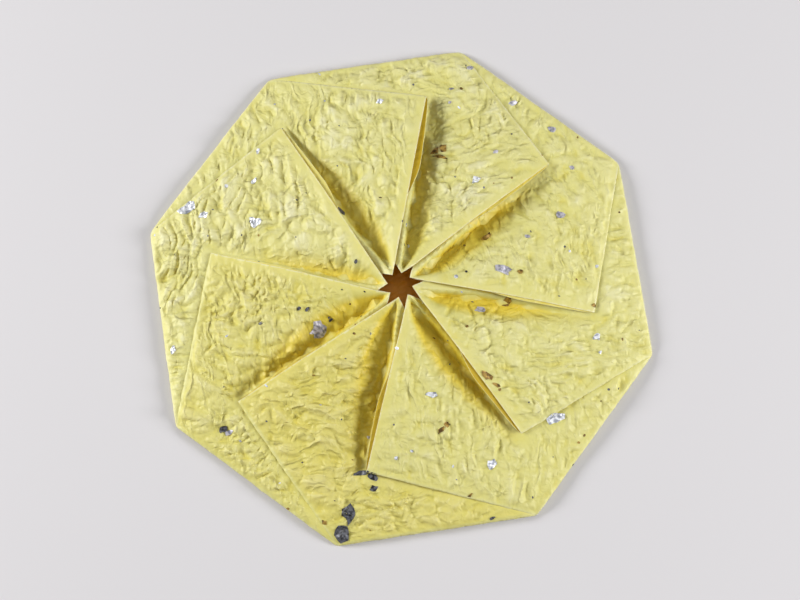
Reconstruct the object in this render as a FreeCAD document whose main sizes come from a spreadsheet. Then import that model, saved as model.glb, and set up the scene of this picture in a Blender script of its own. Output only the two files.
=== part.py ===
import FreeCAD, Part
import math
import os

from FreeCAD import Placement, Rotation, Vector

# An origami tato: one octagonal sheet of paper folded into a flat octagonal case.
#
# The eight corners of the sheet are folded up and over to the middle. Each fold makes a rim edge of a
# smaller octagon, the base, and brings a panel of paper over it. The paper left over at each corner of the
# base is pleated: it runs on from one panel over the next, turns under itself along a mountain fold, comes
# back and turns again along a valley fold into the next panel. All eight pleats lie clockwise, so every
# panel passes over its neighbour on one side and under it on the other, and they lock each other. The panels
# rise a little to the middle, where the corners of the sheet leave a small hole in the shape of a star.
#
# The whole sheet is one solid. Where layers lie on one another there is a thin gap of air between them.
#
# Frame: origin at the middle of the flat underside, +Z up, with two flats of the octagon facing +X and -X.
# Millimetres and degrees.

SIDES = 8
SECTOR = 360 / SIDES
HALF = SECTOR / 2

# name, value, meaning
DRIVING = [
    ("sheet_width", 210, "open sheet, between opposite sides"),
    ("paper", 0.25, "thickness of the paper"),
    ("air", 0.15, "gap between two layers that lie on each other"),
    ("corner_gap", 2.5, "how far a corner of the sheet stops short of the centre, measured flat"),
    ("panel_slope", 10.5, "rise of each panel to the middle"),
    ("tip_droop", 2.5, "how far the tip of each pleat hangs below the plane of its panel"),
]

# Worked out from the driving sizes. Heights count from the middle of the base's thickness.
WORKED_OUT = [
    ("pitch", "=sizes.paper + sizes.air", "from one layer to the next"),
    ("rim_height", "=3 * pitch", "a panel over its pleat's two layers and the next panel"),
    ("bend_length", "=pi * rim_height / 2", "paper used up by the bend at the rim"),
    ("corner_reach", f"=sizes.sheet_width / 2 / cos({HALF})", "open sheet, centre to corner"),
    ("apothem", "=(corner_reach + sizes.corner_gap - bend_length) / 2", "base, centre to side"),
    ("corner", f"=apothem / cos({HALF})", "base, centre to corner"),
    ("panel_length", "=apothem - sizes.corner_gap", "rim to the sheet's corner, along the panel"),
    ("mountain", f"=panel_length * cos({HALF}) - apothem * tan({HALF}) * sin({HALF})", "mountain fold"),
    ("ridge_slope", f"=atan(tan(sizes.panel_slope) * cos({HALF}))", "rise of the ridge between two panels"),
    ("notch", "=corner - sqrt(2) * mountain * cos(ridge_slope)", "centre to the inner end of a ridge"),
    ("tip", "=apothem - panel_length * cos(sizes.panel_slope)", "centre to the sheet's corners"),
    ("dip", "=2 * pitch / tan(sizes.panel_slope)", "run in which a panel falls under the pleat beside it"),
    ("bead", "=(rim_height + sizes.paper) / 2", "radius of the corners, where all the layers meet"),
]


def fill(sheet, rows):
    """Write rows of (alias, content, meaning) into a spreadsheet."""
    for number, (alias, content, meaning) in enumerate(rows, start=1):
        sheet.set(f"A{number}", alias)
        sheet.set(f"B{number}", str(content))
        sheet.set(f"C{number}", meaning)
        sheet.setAlias(f"B{number}", alias)


doc = FreeCAD.newDocument("tato")
sizes = doc.addObject("Spreadsheet::Sheet", "sizes")
fill(sizes, DRIVING)
doc.recompute()
layout = doc.addObject("Spreadsheet::Sheet", "layout")
fill(layout, WORKED_OUT)
doc.recompute()

paper = sizes.paper
pitch = layout.pitch
apothem = layout.apothem
rise = math.tan(math.radians(sizes.panel_slope))
up = Vector(0, 0, 1)


def polar(radius, degrees):
    angle = math.radians(degrees)
    return Vector(radius * math.cos(angle), radius * math.sin(angle), 0)


def on_panel(radius, degrees):
    """A point in the plane of the panel whose midline lies along +X."""
    point = polar(radius, degrees)
    return point + up * (layout.rim_height + (apothem - point.x) * rise)


def lower(point, count=1):
    """The point moved down by that many layers."""
    return point - up * pitch * count


def layers(point):
    """The pair of points where a layer and the one right under it are joined."""
    return lower(point), point


def over_base(point):
    """The pair of points where the base and a panel are joined."""
    return Vector(point.x, point.y, 0), point


# ---------------------------------------------------------------- points of one panel and its pleat
# The panel's midline lies along +X. Its edge at +HALF passes under the panel before it. Beyond its edge at
# -HALF it runs on, over the next panel, as the upper layer of the pleat.

high_corner = on_panel(layout.corner, -HALF)
low_corner = lower(on_panel(layout.corner, HALF), 2)
high_notch = on_panel(layout.notch, -HALF)
low_notch = lower(on_panel(layout.notch, HALF), 2)
tip = lower(on_panel(layout.tip, 0))

# The strip beside the low edge stays parallel to the pleat above it, until it meets the panel's plane.
dip_along_rim = layout.dip / math.sin(math.radians(SECTOR))
dip_at_rim = Vector(apothem, low_corner.y - dip_along_rim, layout.rim_height)
dip_radius = layout.dip / (math.cos(math.radians(HALF)) - math.sin(math.radians(HALF)))
dip_at_ridge = on_panel(dip_radius, -HALF)

# The mountain fold is square to the side of the sheet, so it ends at the middle of that side.
along_rim = Vector(0, 1, 0)
up_panel = Vector(-1, 0, rise).normalize()
fold_angle = math.radians(90 + HALF)
fold_way = along_rim * math.cos(fold_angle) + up_panel * math.sin(fold_angle)
pleat_end = high_corner + fold_way * layout.mountain
fold_middle = (high_corner + pleat_end) * 0.5
edge_middle = (high_notch + pleat_end) * 0.5
pleat_tip = pleat_end - up * sizes.tip_droop


# ---------------------------------------------------------------- shapes


def feature(label, shape):
    obj = doc.addObject("Part::Feature", label)
    obj.Shape = shape
    obj.Placement = Placement(up * paper / 2, Rotation())
    return obj


def facet(label, *corners):
    """A flat piece of the sheet between the given corners, which lie halfway through the paper."""
    outline = [corner - up * paper / 2 for corner in corners]
    return feature(label, Part.Face(Part.makePolygon(outline + outline[:1])).extrude(up * paper))


def bend_section(lower_point, upper_point, outward):
    """Half a ring of paper that joins two layers one above the other."""
    middle = (lower_point + upper_point) * 0.5
    half_gap = (upper_point - lower_point).Length / 2
    outside = half_gap + paper / 2
    inside = half_gap - paper / 2
    return Part.Wire([
        Part.Arc(middle - up * outside, middle + outward * outside, middle + up * outside).toShape(),
        Part.LineSegment(middle + up * outside, middle + up * inside).toShape(),
        Part.Arc(middle + up * inside, middle + outward * inside, middle - up * inside).toShape(),
        Part.LineSegment(middle - up * inside, middle - up * outside).toShape(),
    ])


def bend(label, start, end, outward):
    """A fold in the sheet. start and end are each the pair of points, lower and upper, that it joins."""
    sections = [bend_section(*start, outward), bend_section(*end, outward)]
    return feature(label, Part.makeLoft(sections, True, True))


base = doc.addObject("Part::Prism", "base_layer")
base.Polygon = SIDES
base.setExpression("Circumradius", "layout.corner")
base.setExpression("Height", "sizes.paper")
base.Placement = Placement(Vector(), Rotation(up, HALF))

bead = doc.addObject("Part::Sphere", "corner_bead")
bead.setExpression("Radius", "layout.bead")
bead.setExpression("Placement.Base.x", f"layout.corner * cos({HALF})")
bead.setExpression("Placement.Base.y", f"-layout.corner * sin({HALF})")
bead.setExpression("Placement.Base.z", "layout.bead")

rim_out = Vector(1, 0, 0)
mountain_out = up.cross(fold_way).normalize()
valley_out = up.cross(polar(1, -HALF))

pieces = [
    bead,
    facet("panel", dip_at_rim, high_corner, dip_at_ridge),
    facet("panel_dip", low_corner, dip_at_rim, dip_at_ridge, low_notch),
    facet("panel_lip", low_notch, dip_at_ridge, high_notch),
    facet("panel_tip", low_notch, high_notch, tip),
    facet("pleat_over", high_corner, fold_middle, edge_middle, high_notch),
    facet("pleat_over_tip", fold_middle, pleat_tip, edge_middle),
    facet("pleat_under", lower(high_corner), lower(fold_middle), lower(edge_middle), lower(high_notch)),
    facet("pleat_under_tip", lower(fold_middle), lower(pleat_tip), lower(edge_middle)),
    bend("rim_fold_low", over_base(low_corner), over_base(dip_at_rim), rim_out),
    bend("rim_fold", over_base(dip_at_rim), over_base(high_corner), rim_out),
    bend("mountain_fold", layers(high_corner), layers(fold_middle), mountain_out),
    bend("mountain_fold_tip", layers(fold_middle), layers(pleat_tip), mountain_out),
    bend("valley_fold", layers(lower(high_corner)), layers(lower(high_notch)), valley_out),
]

sector = doc.addObject("Part::MultiFuse", "sector")
sector.Shapes = pieces
sectors = [sector]
for number in range(1, SIDES):
    turned = doc.addObject("App::Link", f"sector_{number + 1}")
    turned.LinkedObject = sector
    turned.Placement = Placement(Vector(), Rotation(up, -SECTOR * number))
    sectors.append(turned)

sheet = doc.addObject("Part::MultiFuse", "folded_sheet")
sheet.Label = "folded_sheet"
sheet.Shapes = [base] + sectors
sheet.Placement = Placement()
doc.recompute()

# ---------------------------------------------------------------- checks and export

for obj in doc.Objects:
    if "Invalid" in obj.State or "Error" in obj.State:
        raise RuntimeError(f"{obj.Label} failed: {obj.State}")

os.makedirs("parts", exist_ok=True)
for obj in [sheet]:
    shape = obj.Shape
    if shape.isNull() or not shape.isValid() or len(shape.Solids) != 1:
        raise RuntimeError(f"{obj.Label} is not one valid solid")
    shape.exportStep(f"parts/{obj.Label}.step")
    box = shape.BoundBox
    print(f"{obj.Label}: {box.XLength:.2f} x {box.YLength:.2f} x {box.ZLength:.2f} mm")
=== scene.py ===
# %% [markdown]
# # An origami tato in crumpled lemon paper
# A tato is a small flat case folded from one regular octagon of paper. Each side of the octagon is folded in
# over the middle, and the paper left over at every corner lies down as a pleat, so that eight panels turn
# round a star-shaped opening. The whole thing is a single sheet, and it is made here as a single closed mesh.
#
# Lengths are in millimetres while the shape is worked out, because paper is thought of in millimetres, and
# are turned into metres only when a mesh is made.

# %% Load the frame
import math
from functools import partial

import bmesh
import bpy
import numpy as np
from mathutils import Matrix, Vector
from mathutils.bvhtree import BVHTree
from mathutils.geometry import delaunay_2d_cdt


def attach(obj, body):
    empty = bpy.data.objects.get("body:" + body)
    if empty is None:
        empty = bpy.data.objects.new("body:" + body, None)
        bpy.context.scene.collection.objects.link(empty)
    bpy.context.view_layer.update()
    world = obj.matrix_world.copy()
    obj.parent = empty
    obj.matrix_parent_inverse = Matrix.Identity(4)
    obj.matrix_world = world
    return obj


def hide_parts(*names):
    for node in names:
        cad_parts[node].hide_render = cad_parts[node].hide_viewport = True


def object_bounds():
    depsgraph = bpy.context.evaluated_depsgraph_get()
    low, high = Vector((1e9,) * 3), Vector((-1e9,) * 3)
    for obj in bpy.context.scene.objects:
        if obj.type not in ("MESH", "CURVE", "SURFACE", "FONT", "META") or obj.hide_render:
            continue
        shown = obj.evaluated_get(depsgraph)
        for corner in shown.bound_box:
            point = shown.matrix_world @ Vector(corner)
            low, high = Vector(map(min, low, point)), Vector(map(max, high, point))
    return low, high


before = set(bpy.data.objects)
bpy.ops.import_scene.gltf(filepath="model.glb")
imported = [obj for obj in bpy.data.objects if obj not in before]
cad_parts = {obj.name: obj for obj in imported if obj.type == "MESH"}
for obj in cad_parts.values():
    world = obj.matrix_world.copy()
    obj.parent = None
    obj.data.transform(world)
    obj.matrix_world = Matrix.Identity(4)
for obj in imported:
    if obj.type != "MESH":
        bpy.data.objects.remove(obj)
frame_low, frame_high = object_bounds()
MM = 0.001
print("frame, mm:", [round(value / MM, 2) for value in (*frame_low, *frame_high)])

# %% [markdown]
# ## The plan of one panel
# All eight panels follow one rule, so the plan is drawn once, with the panel's midline along +X, and turned.
# Going round clockwise, a panel starts in the valley fold that it shares with the panel before it. It rises
# to its raw edge, past its own corner, where it lies over the next panel as a loose flap. The flap turns
# under at its mountain fold and runs back, hidden, to the next valley fold.

# %% Sizes of the case
SIDES = 8
TURN = math.tau / SIDES
PAPER = 0.26
apothem = frame_high.x / MM - PAPER / 2
corner_reach = apothem / math.cos(TURN / 2)
print("corner reach, mm:", round(corner_reach, 2))

# %% Points of the plan
def polar(radius, degrees):
    """A point at a distance from the middle, in a direction from +X."""
    return np.array([math.cos(math.radians(degrees)), math.sin(math.radians(degrees))]) * radius


def turned(points, angle):
    """Points turned counter-clockwise about the middle by an angle in radians."""
    c, s = math.cos(angle), math.sin(angle)
    return np.stack([points[..., 0] * c - points[..., 1] * s, points[..., 0] * s + points[..., 1] * c], -1)


near_corner = polar(corner_reach, 22.5)
far_corner = polar(corner_reach, -22.5)
flap_tip = polar(0.725 * corner_reach, -61.3)
star_tip = polar(0.047 * corner_reach, -15.5)
valley_end = polar(0.103 * corner_reach, 5)
next_valley_end = turned(valley_end, -TURN)
panel_angles = [math.radians(135 - 45 * number) for number in range(SIDES)]
print("mountain fold, mm:", round(float(np.linalg.norm(flap_tip - far_corner)), 2))

# %% [markdown]
# ## What makes each pleat its own
# Hands never fold eight pleats alike. One flap stands up at its tip, another lies almost flush, and the gap
# between the two layers opens more in some than in others. These few numbers, one for each pleat going round
# clockwise from the top left corner, are what keeps the case from looking stamped. Heights and widths are in
# mm. A lip starts and ends at a distance past the raw edge, and runs out at a share of the edge's length. The
# two shades are of deep gold: one is painted shade on the band of hidden paper, which lies in the shadow of
# the flap over it, and one adds the same gold all over the open panel that comes after, or takes some away.

# %% The hand's differences
tip_lift = [2.3, 0.7, 0.5, 0.6, 1.5, 0.6, 0.5, 0.5]
band_width = [1.7, 0.9, 0.7, 1.4, 1.15, 0.6, 0.4, 1.3]
band_shade = [0.95, 0.6, 0.45, 0.9, 0.9, 0.6, 0.3, 0.4]
groove_depth = [2.8, 2.9, 2.5, 3.1, 2.7, 2.6, 1.9, 2.9]
edge_raise = [0.3, 0.2, 0.0, 0.45, 0.2, 0.2, 0.1, 0.45]
edge_gap = [0.3, 0.3, 0.1, 0.5, 0.5, 0.3, 0.2, 0.6]
lip_start = [-0.1, -0.1, -0.1, 1.0, 0.0, -0.1, -0.1, -0.1]
lip_end = [1.0, 1.2, 1.8, 1.4, 1.3, 0.9, 0.4, 1.7]
lip_reach = [0.42, 0.42, 0.42, 0.4, 0.38, 0.38, 0.3, 0.42]
tip_out = [3, 2.5, 1.5, -0.5, -1, 1.5, 1, 4.5]
tip_clockwise = [0, -3, -1, -2, 2, 2, 3, 1.5]
panel_shade = [-0.1, -0.14, 0.0, 0.0, 0.18, 0.54, 0.4, -0.12]
print("tips stand up, mm:", min(tip_lift), "to", max(tip_lift))

# %% [markdown]
# ## Noise and creases in plain arithmetic
# Crumpled paper needs a height at any point of the flat sheet, the same on both sides of a fold. Texture
# nodes can't be read from a script, so two small functions stand in for them: a smooth noise, and a Voronoi
# pattern that gives the distance to the nearest two of many scattered points.

# %% Noise
def scattered(ix, iy, seed):
    """A fixed random number from 0 to 1 for each whole-numbered cell."""
    n = (ix.astype(np.int64) * 374761393 + iy.astype(np.int64) * 668265263 + seed * 144269504) & 0xFFFFFFFF
    n = ((n ^ (n >> 13)) * 1274126177) & 0xFFFFFFFF
    return (n ^ (n >> 16)) / 4294967296.0


def noise(points, seed):
    """Smooth noise from -1 to 1 with cells one unit wide."""
    cell = np.floor(points)
    part = points - cell
    part = part * part * part * (part * (part * 6 - 15) + 10)
    x, y = cell[..., 0], cell[..., 1]
    low = scattered(x, y, seed) * (1 - part[..., 0]) + scattered(x + 1, y, seed) * part[..., 0]
    high = scattered(x, y + 1, seed) * (1 - part[..., 0]) + scattered(x + 1, y + 1, seed) * part[..., 0]
    return (low * (1 - part[..., 1]) + high * part[..., 1]) * 2 - 1


def nearest_two(points, seed):
    """Distances to the nearest and second nearest of points scattered one to a cell."""
    cell = np.floor(points)
    first = np.full(len(points), 9.0)
    second = np.full(len(points), 9.0)
    for dx in (-1, 0, 1):
        for dy in (-1, 0, 1):
            x, y = cell[:, 0] + dx, cell[:, 1] + dy
            across = x + scattered(x, y, seed) - points[:, 0]
            along = y + scattered(x, y, seed + 7) - points[:, 1]
            away = np.hypot(across, along)
            second = np.minimum(second, np.maximum(first, away))
            first = np.minimum(first, away)
    return first, second


def smooth(x):
    """An even step from 0 to 1 as x goes from 0 to 1."""
    x = np.clip(x, 0, 1)
    return x * x * (3 - 2 * x)


def fade(x):
    """An even step from 1 to 0 as x goes from 0 to 1."""
    return 1 - smooth(x)


def print_range(title, values):
    print(title, round(float(values.min()), 3), "to", round(float(values.max()), 3))


probe = np.random.default_rng(5).uniform(-90, 90, (4000, 2))
print_range("noise:", noise(probe, 1))

# %% [markdown]
# ## The crumple
# The sheet was crushed by hand and opened again, so it is covered in small rounded mounds with narrow
# creases between them, and here and there a longer ridge. Pushing the cells of a Voronoi pattern about with
# noise gives the mounds, and a folded noise gives the ridges. The pattern is stretched one way in some
# places and the other way in others, because paper wrinkles across the push. It is about a millimetre high.
# Sizes are in mm. A push is how far it goes, how wide its waves are and its seed, and the whole numbers that
# the other noises are given are seeds too.

# %% Sizes in the crumple
MOUND_SIZE = 3.7
MOUND_EDGE = 0.85
CREASE_SIZE = 3.5
RIDGE_WIDTH = 0.07
SHEET_LEVEL = 0.66
DEEPEST = -0.12
PUSHES = [(6, 19, 16), (1.4, 5.2, 11), (0.25, 1.7, 13)]
print("pushed about by, mm:", [push for push, size, seed in PUSHES])

# %% Height of the crumple
def crease(points, seed):
    """Smooth noise folded at zero, which leaves sharp lines between gently sloping facets."""
    return 1 - np.abs(noise(points, seed))


def mounds(points, seed, plateau):
    """Height from 0 in the creases between Voronoi cells to 1 in their middles."""
    first, second = nearest_two(points, seed)
    share = np.clip((second - first) / plateau, 0, 1)
    return share * (2 - share)


def wrinkles(points, stretch, mound_seed, crease_seed):
    """Mounds and creases, drawn out across the way that the sheet was pushed."""
    drawn = turned(points * np.array(stretch), 0.6)
    mound = mounds(drawn / MOUND_SIZE, mound_seed, MOUND_EDGE)
    return 0.62 * mound + 0.56 * crease(drawn / CREASE_SIZE, crease_seed)


def crumple(flat):
    """Height of the crumpled relief, in mm, at points of the flat sheet."""
    pushed = flat
    for push, size, seed in PUSHES:
        pushed = pushed + push * np.stack([noise(flat / size, seed), noise(flat / size, seed + 1)], -1)
    share = smooth(noise(flat / 13, 15) * 2.5 + 0.5)
    folds = wrinkles(pushed, (1.25, 0.68), 21, 24) * share
    folds = folds + wrinkles(pushed, (0.68, 1.25), 23, 25) * (1 - share)
    facets = 0.42 * crease(turned(pushed, 0.4) / 6.5, 31) + 0.26 * crease(turned(pushed, 0.9) / 3.4, 32)
    ridges = np.exp(-np.abs(noise(pushed / 5.5, 34)) / RIDGE_WIDTH) * smooth(noise(flat / 6, 35) * 2 + 0.5)
    strength = 1.35 + 0.42 * noise(flat / 17, 41)
    height = facets + 0.72 * folds + 0.36 * ridges - SHEET_LEVEL
    return np.maximum(height * strength, DEEPEST)


print_range("crumple, mm:", crumple(probe))

# %% [markdown]
# ## The surface of one panel
# Seen from above, every layer of a tato is a height over the table, so the shape is a set of height
# functions, one for each layer. A panel is a gently sloping plane that rises to the star. The flap bends
# down towards the panel that it lies on, fanning out from its corner, because paper only bends along
# straight lines. Beside each raw edge the next panel drops into a groove.

# %% The lines of each pleat
class Pleat:
    """The lines of one pleat: its corner, flap tip and raw edge, and how far any point lies from them."""

    def __init__(self, number):
        self.number = number
        self.angle = panel_angles[number]
        self.corner = turned(far_corner, self.angle)
        usual_tip = turned(flap_tip, self.angle)
        out = usual_tip / np.linalg.norm(usual_tip)
        self.shift = out * tip_out[number] + np.array([out[1], -out[0]]) * tip_clockwise[number]
        self.tip = usual_tip + self.shift
        self.star = turned(star_tip, self.angle)
        self.valley = turned(next_valley_end, self.angle)
        self.outward = self.corner / np.linalg.norm(self.corner)
        self.across = np.array([self.outward[1], -self.outward[0]])
        along = self.tip - self.star
        self.edge_length = float(np.linalg.norm(along))
        self.along = along / self.edge_length
        self.beyond = np.array([self.along[1], -self.along[0]])
        fold = self.tip - self.corner
        self.fold_length = float(np.linalg.norm(fold))
        fold_way = fold / self.fold_length
        self.past_fold = np.array([-fold_way[1], fold_way[0]])
        if np.dot(self.past_fold, self.star - self.corner) > 0:
            self.past_fold = -self.past_fold
        if np.dot(self.beyond, self.corner - self.star) > 0:
            self.beyond = -self.beyond
        self.fan = self.fan_angle(self.tip)

    def fan_angle(self, points):
        """The angle at the corner from the line to the middle of the case."""
        away = points - self.corner
        return np.arctan2(away @ self.across, -(away @ self.outward))

    def along_edge(self, points):
        """0 at the star and 1 at the flap's tip."""
        return (points - self.star) @ self.along / self.edge_length

    def past_edge(self, points):
        """How far past the raw edge a point lies, and below 0 under the flap."""
        return (points - self.star) @ self.beyond

    def past_mountain(self, points):
        """How far past the mountain fold a point lies, and below 0 under the flap."""
        return (points - self.corner) @ self.past_fold


pleats = [Pleat(number) for number in range(SIDES)]
print("raw edges, mm:", [round(pleat.edge_length, 1) for pleat in pleats])

# %% How a panel settles and droops
SLOPE = math.tan(math.radians(10.2))
PINCH = 3
STIFF_FAN = 0.16


def from_line(points, start, end):
    """Distance of each point from a stretch of straight line, and the nearest point on it."""
    way = end - start
    t = np.clip((points - start) @ way / (way @ way), 0, 1)
    foot = start + t[:, None] * way
    return np.linalg.norm(points - foot, axis=1), foot


def settle(number, points):
    """1 over most of the case and 0 at the two corners of a panel, where all the layers pinch together."""
    one = np.linalg.norm(points - pleats[number].corner, axis=-1)
    other = np.linalg.norm(points - pleats[number - 1].corner, axis=-1)
    return np.tanh(one / PINCH) * np.tanh(other / PINCH)


def droop(number, points):
    """How far the flap bends down from its panel's plane towards the next panel."""
    pleat = pleats[number]
    fan = np.clip(pleat.fan_angle(points), 0, math.pi / 2)
    away = np.linalg.norm(points - pleat.corner, axis=-1)
    share = smooth((fan - STIFF_FAN) / (pleat.fan - STIFF_FAN))
    rise = 2 * math.sin(TURN / 2) * SLOPE * np.sin(fan)
    return away * share * (rise - tip_lift[number] / pleat.fold_length)


print("slope of a panel:", round(SLOPE, 3))

# %% [markdown]
# ## Lips and grooves
# Where a flap lies on the next panel, its weight and spring press a groove into it that shows beside the raw
# edge. Near the star a narrow strip of the panel stands up between the raw edge and the groove, as a lip.
# Both are smooth bumps in a few distances. In what follows t runs from 0 at the star to 1 at the flap's tip,
# and w and v are how far in mm a point lies past the raw edge and past the mountain fold.

# %% Lips
LIP_HEIGHT = 0.6
LIP_FALL = 1.2


def lip_width(number, t):
    """How wide the raised lip beside a raw edge is, from the star outwards."""
    return 0.15 + lip_end[number] * fade(t / lip_reach[number])


def lip(number, points):
    """The narrow strip of the next panel that stands up beside a raw edge, from 0 to 1."""
    pleat = pleats[number]
    t = pleat.along_edge(points)
    w = pleat.past_edge(points)
    start = smooth((w - lip_start[number]) / 0.7)
    end = fade((w - lip_width(number, t)) / LIP_FALL)
    return start * end * fade(t / lip_reach[number]) * smooth((t + 0.1) / 0.1)


print("lips, mm wide:", min(lip_end), "to", max(lip_end))

# %% Grooves
GROOVE_SIDE = 1.3
UNDER_DEPTH = 0.95
TUCKED = 1.6
TUCKED_BLUR = 1.4


def trough(number, points):
    """The groove beside a pleat's raw edge, deep near the star, but no wider than there is room for."""
    pleat = pleats[number]
    t = pleat.along_edge(points)
    w = pleat.past_edge(points)
    v = pleat.past_mountain(points)
    from_lip = from_line(points, pleat.valley, pleats[(number + 1) % SIDES].star)[0]
    depth = groove_depth[number] * (1 - 0.8 * smooth((t - 0.18) / 0.9)) * smooth((from_lip - 0.2) / 1.5)
    wide = 3.2 + 2.4 * smooth(t / 0.5)
    crest = lip_width(number, t)
    foot = np.maximum(w - crest - GROOVE_SIDE, 0)
    side = smooth((w - crest) / GROOVE_SIDE) * np.exp(-((foot / wide) ** 2))
    radius = np.linalg.norm(points, axis=-1)
    narrowed = fade((w - 0.38 * radius) / (0.32 * radius + 0.01))
    return depth * side * narrowed * fade(v / 4)


def groove(number, points):
    """How far the next panel lies below the plane of its own middle, under and beside this pleat."""
    pleat = pleats[number]
    w = pleat.past_edge(points)
    v = pleat.past_mountain(points)
    radius = np.linalg.norm(points, axis=-1)
    under = UNDER_DEPTH * fade(w / np.clip(0.6 * radius, 0.8, 6)) * fade((v + TUCKED) / 2)
    pressed = trough(number - 1, points) * fade((w + 3) / 3)
    standing = LIP_HEIGHT * lip(number, points)
    return under * settle(number, points) + pressed + trough(number, points) - standing


def covered(number, points):
    """1 where a panel lies under the flap of the pleat before it, and 0 where it shows."""
    pleat = pleats[number - 1]
    w = pleat.past_edge(points)
    v = pleat.past_mountain(points)
    near = points @ pleat.across > 0
    return fade((w + TUCKED) / TUCKED_BLUR) * fade((v + TUCKED) / TUCKED_BLUR) * near


print("grooves, mm deep:", min(groove_depth), "to", max(groove_depth))

# %% [markdown]
# ## Heights of the layers
# The base lies flat on the table. A panel starts above it by the thickness of the pleats that are stacked
# there, rises to the star, and has the droop, the groove and a slow wave taken off or added. A hidden pleat
# follows its own panel, a gap lower, and the gap opens towards the star. At a panel's two corners the gaps
# between the layers close, because the folds pinch them together.

# %% Heights of the three layers
BASE = 0.27
STACK = 1.15
GAP = 0.38
RAISED_STRIP = 3
WAVE = 0.22
WAVE_SIZE = 15


def panel_height(number, points):
    """Height of the middle of a panel's top layer."""
    pleat = pleats[number]
    middle = np.array([math.cos(pleat.angle), math.sin(pleat.angle)])
    height = BASE + STACK * settle(number, points) + (apothem - points @ middle) * SLOPE
    w = pleat.past_edge(points)
    t = np.clip(pleat.along_edge(points), 0, 1)
    lift = edge_raise[number] * np.exp(-((w / RAISED_STRIP) ** 2)) * np.sin(math.pi * t**0.7)
    wave = WAVE * noise(points / WAVE_SIZE, 51) * settle(number, points)
    return height - droop(number, points) - groove(number - 1, points) + lift + wave


def pleat_height(number, points):
    """Height of the hidden layer under a flap."""
    t = np.clip(pleats[number].along_edge(points), 0, 1)
    gap = GAP + edge_gap[number] * fade(t / 0.6) * smooth((t - 0.04) / 0.14)
    return panel_height(number, points) - gap * settle(number, points)


def base_height(points):
    """Height of the base, which is flat on the table."""
    return np.full(len(points), BASE)


print("star tip height, mm:", round(float(panel_height(0, np.array([pleats[0].star]))[0]), 2))

# %% [markdown]
# ## Triangles for each layer
# The wrinkles need a fine, even grid where they show and next to nothing where they don't. A constrained
# Delaunay triangulation does that: it takes an outline and any scatter of points, here a triangular grid, and
# joins them with well-shaped triangles. Rows of points close beside each fold let the paper turn over in a
# rounded bend. The outlines of the two layers that meet in a fold carry the same points.

# %% Rows and grids of points
def spread(start, end, spacing):
    """Evenly spaced points from start to end, both included."""
    count = max(2, int(round(np.linalg.norm(end - start) / spacing)) + 1)
    return start + (end - start) * np.linspace(0, 1, count)[:, None]


def inside(points, outline):
    """Which points lie inside a closed outline."""
    found = np.zeros(len(points), bool)
    for a, b in zip(outline, np.roll(outline, -1, axis=0)):
        crosses = (a[1] > points[:, 1]) != (b[1] > points[:, 1])
        height = b[1] - a[1] if b[1] != a[1] else 1e-12
        found ^= crosses & (points[:, 0] < (b[0] - a[0]) * (points[:, 1] - a[1]) / height + a[0])
    return found


def grid(spacing):
    """A triangular grid of points over the whole plan."""
    rows = np.arange(-66, 66, spacing * 0.866)
    columns = np.arange(-66, 66, spacing)
    x, y = np.meshgrid(columns, rows)
    x = x + np.where(np.arange(len(rows)) % 2, spacing / 2, 0)[:, None]
    return np.stack([x.ravel(), y.ravel()], -1)


def clear_of(points, others, distance):
    """The points that lie further than distance from every one of the others."""
    keep = np.ones(len(points), bool)
    for start in range(0, len(points), 2000):
        block = points[start:start + 2000]
        apart = np.linalg.norm(block[:, None, :] - others[None, :, :], axis=2).min(axis=1)
        keep[start:start + 2000] = apart > distance
    return points[keep]


def triangulated(points, count):
    """Points joined into triangles inside the outline that the first count of them make."""
    made = delaunay_2d_cdt([Vector(p) for p in points], [], [list(range(count))], 1, 1e-6)
    where = {index: new for new, old in enumerate(made[3]) for index in old}
    return np.array([tuple(p) for p in made[0]]), [tuple(face) for face in made[2]], where


print("fine grid, points:", len(grid(0.445)))

# %% One layer
class Layer:
    """One layer of the folded sheet: an outline of named edges, filled with triangles."""

    def __init__(self, edges, folds, spacing_at, rows):
        outline = np.concatenate([points[:-1] for name, points in edges])
        starts = np.cumsum([0] + [len(points) - 1 for name, points in edges])
        bends = []
        for name, points in edges:
            if name in folds:
                way = (points[-1] - points[0]) / np.linalg.norm(points[-1] - points[0])
                inward = np.array([-way[1], way[0]])
                bends += [points[1:-1] + inward * row for row in rows]
        bends = np.concatenate(bends)
        kept = inside(bends, outline)
        for name, points in edges:
            kept &= from_line(bends, points[0], points[-1])[0] > 0.02
        bends = bends[kept]
        fill = []
        for spacing in sorted({float(s) for s in spacing_at(None)}):
            trial = grid(spacing)
            trial = trial[spacing_at(trial) == spacing]
            fill.append(clear_of(trial[inside(trial, outline)], outline, spacing * 0.5))
        fill = clear_of(np.concatenate(fill), bends, 0.2)
        self.points, triangles, where = triangulated(np.concatenate([outline, bends, fill]), len(outline))
        self.triangles = np.array(triangles)
        self.edges = {}
        for (name, points), start in zip(edges, starts):
            self.edges[name] = [where[(start + step) % len(outline)] for step in range(len(points))]


print("points along a raw edge:", len(spread(star_tip, flap_tip, 0.55)))

# %% Outlines of the three layers
WIDEST_BAND = 2.0
TUCKED_IN = 0.41


def pleat_edge(spacing):
    """The hidden layer's raw edge, from the flap's tip in to the valley fold. It shows as a narrow band."""
    line = spread(flap_tip, next_valley_end, spacing)
    t = np.linspace(1, 0, len(line))
    away = flap_tip - star_tip
    beyond = np.array([away[1], -away[0]]) / np.linalg.norm(away)
    if beyond @ (far_corner - star_tip) > 0:
        beyond = -beyond
    w = (line - star_tip) @ beyond
    band = WIDEST_BAND * smooth((t - 0.34) / 0.26) * (1 - t) ** 0.45
    wanted = band - TUCKED_IN * fade((t - 0.28) / 0.16)
    wanted[0], wanted[-1] = w[0], w[-1]
    return line + beyond * (wanted - w)[:, None]


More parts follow.
